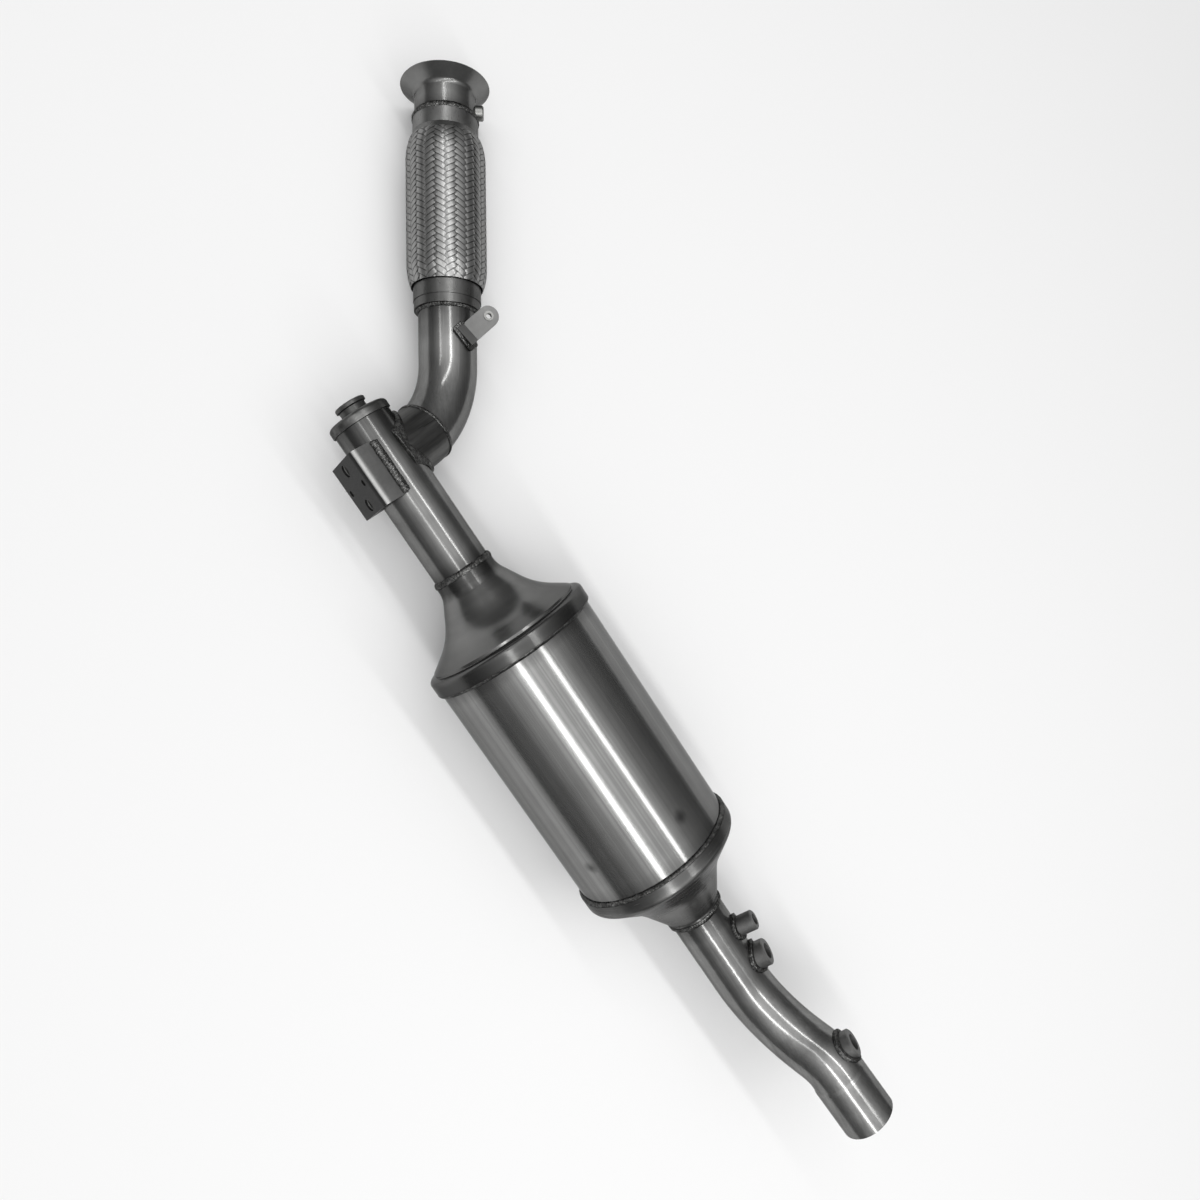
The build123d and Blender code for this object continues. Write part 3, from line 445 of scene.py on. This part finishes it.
def weave_strand(hand, index):
    """One strand, laid as a flat grid on the barrel along its helix.

    Its attribute rise is 1 where it lies on top and -1 where it lies under.
    """
    start, end = braid_start - strand_tail, braid_end + strand_tail
    lead = strand_pitch * strand_count
    deselect_all()
    long_cells, wide_cells = strand_cells
    bpy.ops.mesh.primitive_grid_add(x_subdivisions=long_cells, y_subdivisions=wide_cells, size=2)
    strand = bpy.context.object
    rise = strand.data.attributes.new("rise", "FLOAT", "POINT")
    for vertex in strand.data.vertices:
        along, side = (vertex.co.x + 1) / 2, vertex.co.y
        station = start + (end - start) * along
        crossing = hand * 2 * (station - braid_start) / strand_pitch + 2 * index
        lift = hand * math.cos(math.pi / 2 * (crossing - 0.5))
        lift = max(-1.0, min(1.0, lift * float_steepness))
        rise.data[vertex.index].value = lift
        slope = math.atan2(math.tau * barrel_radius(station), lead)
        angle = math.pi / strand_count * crossing
        angle -= hand * side * strand_width / 2 * math.cos(slope) / barrel_radius(station)
        station += side * strand_width / 2 * math.sin(slope)
        radius = barrel_radius(station) - weave_depth + lift * weave_height
        radius -= strand_crown * side * side
        vertex.co = (station, radius * math.cos(angle), radius * math.sin(angle))
    return strand


def turn_ring(stations, radii, steps):
    """A closed ring turned about X from its section's corners."""
    deselect_all()
    bpy.ops.mesh.primitive_plane_add(size=1)
    ring = bpy.context.object
    bpy.ops.object.mode_set(mode="EDIT")
    bpy.ops.mesh.delete(type="VERT")
    bpy.ops.object.mode_set(mode="OBJECT")
    corners = [(station, 0, radius) for station, radius in zip(stations, radii)]
    edges = [(index, (index + 1) % len(corners)) for index in range(len(corners))]
    ring.data.from_pydata(corners, edges, [])
    bpy.ops.object.mode_set(mode="EDIT")
    bpy.ops.mesh.select_all(action="SELECT")
    bpy.ops.mesh.spin(steps=steps, angle=math.tau, center=(0, 0, 0), axis=(1, 0, 0))
    bpy.ops.mesh.select_all(action="SELECT")
    bpy.ops.mesh.remove_doubles(threshold=0.01 * MM)
    bpy.ops.mesh.normals_make_consistent(inside=False)
    bpy.ops.object.mode_set(mode="OBJECT")
    return ring


def build_braid():
    """Weaves the braid and its lining of painted shade and puts them in the place of the CAD braid."""
    strands = [weave_strand(hand, index) for hand in (1, -1) for index in range(strand_count)]
    deselect_all()
    for strand in strands:
        strand.select_set(True)
    bpy.context.view_layer.objects.active = strands[0]
    bpy.ops.object.join()
    braid = bpy.context.object
    braid.name = braid.data.name = "woven_strands"
    braid.data.materials.append(braid_wire)
    bpy.ops.object.mode_set(mode="EDIT")
    for station, side in ((braid_start, -1), (braid_end, 1)):
        bpy.ops.mesh.select_all(action="SELECT")
        cut = (station - side * strand_trim, 0, 0)
        bpy.ops.mesh.bisect(plane_co=cut, plane_no=(side, 0, 0), clear_outer=True)
    bpy.ops.object.mode_set(mode="OBJECT")
    solid = braid.modifiers.new("thickness", "SOLIDIFY")
    solid.thickness = strand_thickness
    solid.offset = 0
    bpy.ops.object.modifier_apply(modifier="thickness")
    bpy.ops.object.shade_smooth_by_angle(angle=math.radians(50))

    steps = range(lining_steps + 1)
    stations = [braid_start + (braid_end - braid_start) * step / lining_steps for step in steps]
    radii = [barrel_radius(station) - lining_depth for station in stations]
    stations += [braid_end, braid_start]
    radii += [lining_bore, lining_bore]
    lining = turn_ring(stations, radii, lining_turn_steps)
    lining.name = lining.data.name = "braid_shade_lining"
    lining.data.materials.append(inner_wire)
    bpy.ops.object.shade_smooth_by_angle(angle=math.radians(30))
    for piece in (braid, lining):
        piece.data.transform(frame_along(flange_centre, leg_direction))
        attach(piece, "root")
        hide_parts("flex_braid")


build_braid()

# Ripples of a laid bead: their spacing, and how much they bow and scatter
skin_voxel = 0.6 * MM
ripple_pitch = 3.0 * MM
ripple_bow = 0.8
ripple_scatter = 0.35
scatter_per_metre = 90
lumps_per_metre = 260
# Shares of the bead's depth: the skin rises, and falls along each ripple and at each lump
skin_rise = 0.3
ripple_fall = 0.6
lump_fall = 0.45


def lay_bead(node, origin, axis, radius, depth=0.9 * MM):
    """Gives a weld of the CAD model the ripples of a laid bead.

    The ripples follow the turn round an axis, or the way along it if the radius is zero.
    """
    deselect_all()
    source = cad[node]
    mesh = source.data.copy()
    mesh.transform(source.matrix_world)
    weld = bpy.data.objects.new(node + "_laid", mesh)
    scene.collection.objects.link(weld)
    weld.select_set(True)
    bpy.context.view_layer.objects.active = weld
    bpy.ops.object.mode_set(mode="EDIT")
    bpy.ops.mesh.select_all(action="SELECT")
    bpy.ops.mesh.remove_doubles(threshold=0.02 * MM)
    bpy.ops.object.mode_set(mode="OBJECT")
    remesh = weld.modifiers.new("even_skin", "REMESH")
    remesh.mode = "VOXEL"
    remesh.voxel_size = skin_voxel
    bpy.ops.object.modifier_apply(modifier="even_skin")
    axis = Vector(axis).normalized()
    first = axis.orthogonal().normalized()
    second = axis.cross(first)
    shifts = []
    for vertex in mesh.vertices:
        offset = vertex.co - Vector(origin)
        if radius:
            way = math.atan2(offset.dot(second), offset.dot(first)) * radius
            across = vertex.normal.dot(axis)
        else:
            way, across = offset.dot(axis), vertex.normal.z
        scatter = ripple_scatter * noise.noise(vertex.co * scatter_per_metre)
        phase = way / ripple_pitch + ripple_bow * across * across + scatter
        ridge = (phase - math.floor(phase)) ** 2
        lump = noise.noise(vertex.co * lumps_per_metre)
        shift = skin_rise - ripple_fall * ridge - lump_fall * lump
        shifts.append(vertex.normal * depth * shift)
    for vertex, shift in zip(mesh.vertices, shifts):
        vertex.co += shift
    mesh.materials.clear()
    mesh.materials.append(weld_metal)
    bpy.ops.object.shade_smooth()
    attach(weld, "root")
    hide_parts(node)


# A bead's radius spaces its ripples, and its depth is their height
origin = (0, 0, 0)
axis_x = (1, 0, 0)
upright = (0, 0, 1)
pipe_bead = {"radius": 31 * MM}
rim_bead = {"radius": 89 * MM, "depth": 0.6 * MM}
boss_bead = {"radius": 16 * MM, "depth": 0.8 * MM}
seam_centre = branch_centre + stub_direction * stub_length
seam_direction = stub_direction * 5 - leg_direction
lay_bead("neck_weld", flange_centre, leg_direction, radius=33 * MM)
lay_bead("downpipe_weld", flange_centre, leg_direction, radius=32 * MM)
lay_bead("inlet_neck_weld", origin, axis_x, **pipe_bead)
lay_bead("inlet_rim_weld", origin, axis_x, **rim_bead)
lay_bead("outlet_rim_weld", origin, axis_x, **rim_bead)
lay_bead("outlet_neck_weld", origin, axis_x, **pipe_bead)
lay_bead("stub_seam_weld", seam_centre, seam_direction, **pipe_bead, depth=0.4 * MM)
lay_bead("saddle_weld", branch_centre, stub_direction, radius=34 * MM, depth=0.2 * MM)
lay_bead("bracket_welds", origin, axis_x, radius=0)
lay_bead("tab_weld", tab_foot, upright, radius=14 * MM)
lay_bead("nipple_weld", nipple_foot, boss_direction, radius=13 * MM, depth=0.8 * MM)
lay_bead("front_boss_weld", front_boss_foot, boss_direction, **boss_bead)
lay_bead("rear_boss_weld", rear_boss_foot, rear_boss_direction, **boss_bead)


# Camera: the place and view of the photograph
camera_place = Vector((136.75, -158.48, 892.56)) * MM
view_right = Vector((0.54002, 0.77622, 0.32536))
view_down = Vector((0.8238, -0.56668, -0.01536))
view_back = view_right.cross(-view_down)
camera_data = bpy.data.cameras.new("camera")
camera_data.lens = 27
camera_data.sensor_width = 36
camera_data.clip_start = 0.01
camera_data.clip_end = 50
camera = bpy.data.objects.new("camera", camera_data)
scene.collection.objects.link(camera)
view_turn = Matrix((view_right, -view_down, view_back)).transposed().to_4x4()
camera.matrix_world = Matrix.Translation(camera_place) @ view_turn
scene.camera = camera

# Floor: pale matt paper that keeps the part's soft shadow
floor_size = 40
floor_centre = (0.35, 0, -rim_radius)
deselect_all()
bpy.ops.mesh.primitive_plane_add(size=floor_size, location=floor_centre)
floor = bpy.context.object
floor.name = floor.data.name = "floor"
paper, tree = new_tree("pale_matt_paper")
inputs = {"Base Color": srgb("#f0f0f0"), "Roughness": 0.9, "Specular IOR Level": 0.1}
surface = add_node(tree, "ShaderNodeBsdfPrincipled", inputs)
add_node(tree, "ShaderNodeOutputMaterial", {0: surface})
floor.data.materials.append(paper)


def softbox(name, centre, length, width, radiance):
    """A lamp panel that faces down, of a given brightness."""
    lamp = bpy.data.lights.new(name, "AREA")
    lamp.shape = "RECTANGLE"
    lamp.size, lamp.size_y = length, width
    lamp.energy = radiance * math.pi * length * width
    panel = bpy.data.objects.new(name, lamp)
    scene.collection.objects.link(panel)
    panel.location = centre


# Two rows of narrow panels give the pair of bright lines along the tubes. The far row is
# stronger over the inlet, and the near row over the outlet
far_y, near_y, panel_z = 0.62, -0.73, 2.1
softbox("narrow_panel_far_inlet", (-0.1, far_y, panel_z), length=3.8, width=0.13, radiance=10.0)
softbox("narrow_panel_far_outlet", (2.5, far_y, panel_z), length=1.4, width=0.13, radiance=1.5)
softbox("narrow_panel_near_inlet", (-0.95, near_y, panel_z), length=2.5, width=0.13, radiance=4.5)
softbox("narrow_panel_near_outlet", (1.75, near_y, panel_z), length=2.9, width=0.23, radiance=9.0)

# The studio round them is a grey dome, brightest overhead
dome_top = (0, -0.1, 0.995)
dome_focus = 3.0
dome_strength = 1.35
horizon_strength = 0.13
world = bpy.data.worlds.new("studio")
scene.world = world
world.use_nodes = True
tree = world.node_tree
tree.nodes.clear()
way = add_node(tree, "ShaderNodeTexCoord", {}, "Generated")
inputs = {0: way, 1: dome_top}
height = add_node(tree, "ShaderNodeVectorMath", inputs, "Value", operation="DOT_PRODUCT")
above = add_node(tree, "ShaderNodeMath", {0: height, 1: 0.0}, operation="MAXIMUM")
focused = add_node(tree, "ShaderNodeMath", {0: above, 1: dome_focus}, operation="POWER")
inputs = {0: focused, 1: dome_strength, 2: horizon_strength}
strength = add_node(tree, "ShaderNodeMath", inputs, operation="MULTIPLY_ADD")
light = add_node(tree, "ShaderNodeBackground", {"Color": (1, 1, 1, 1), "Strength": strength})
add_node(tree, "ShaderNodeOutputWorld", {0: light})
scene.view_settings.view_transform = "Standard"
